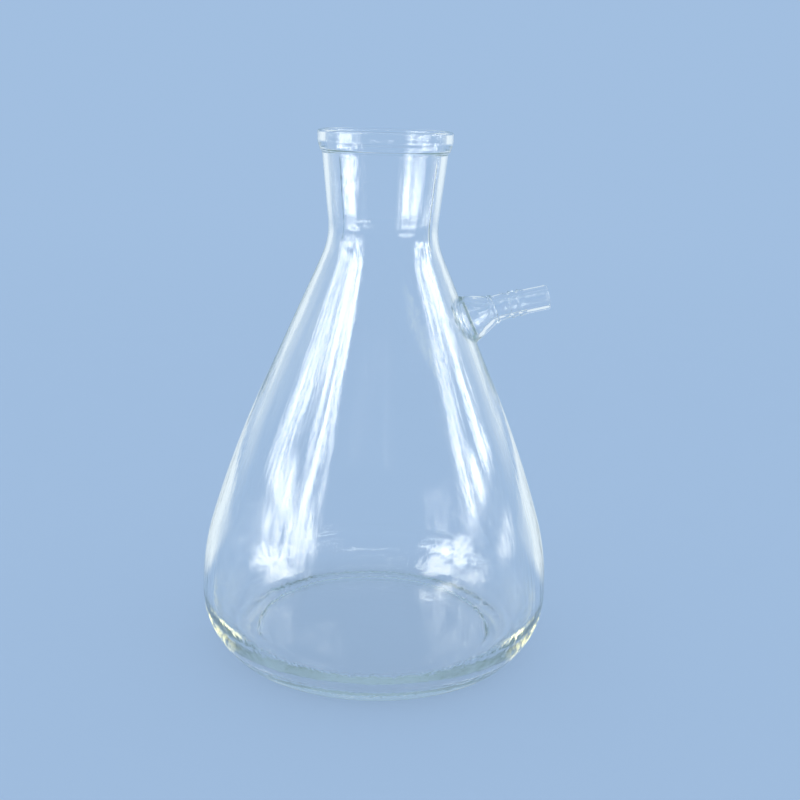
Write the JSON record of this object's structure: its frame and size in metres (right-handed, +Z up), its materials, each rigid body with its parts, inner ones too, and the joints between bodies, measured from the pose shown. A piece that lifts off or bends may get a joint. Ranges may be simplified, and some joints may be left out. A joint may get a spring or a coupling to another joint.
{
  "type": "buchner flask",
  "caption": "Conical thick-walled filter flask with a flat base, a flared neck with a collared mouth, and a short serrated hose arm high on one side of the cone.",
  "frame": {"origin": "centre of the standing ring, on the bench", "axes": "+Z up the flask's axis and out of the mouth; the side arm points along +X and slopes up"},
  "size_m": [0.1328, 0.1328, 0.195],
  "materials": {
    "clear_glass": "clear blown glass, fire-polished edges, faint yellow-green where it is seen edge on"
  },
  "bodies": {
    "root": {"flask_body": "clear_glass", "side_arm_root": "clear_glass", "hose_barb": "clear_glass"}
  },
  "joints": []
}
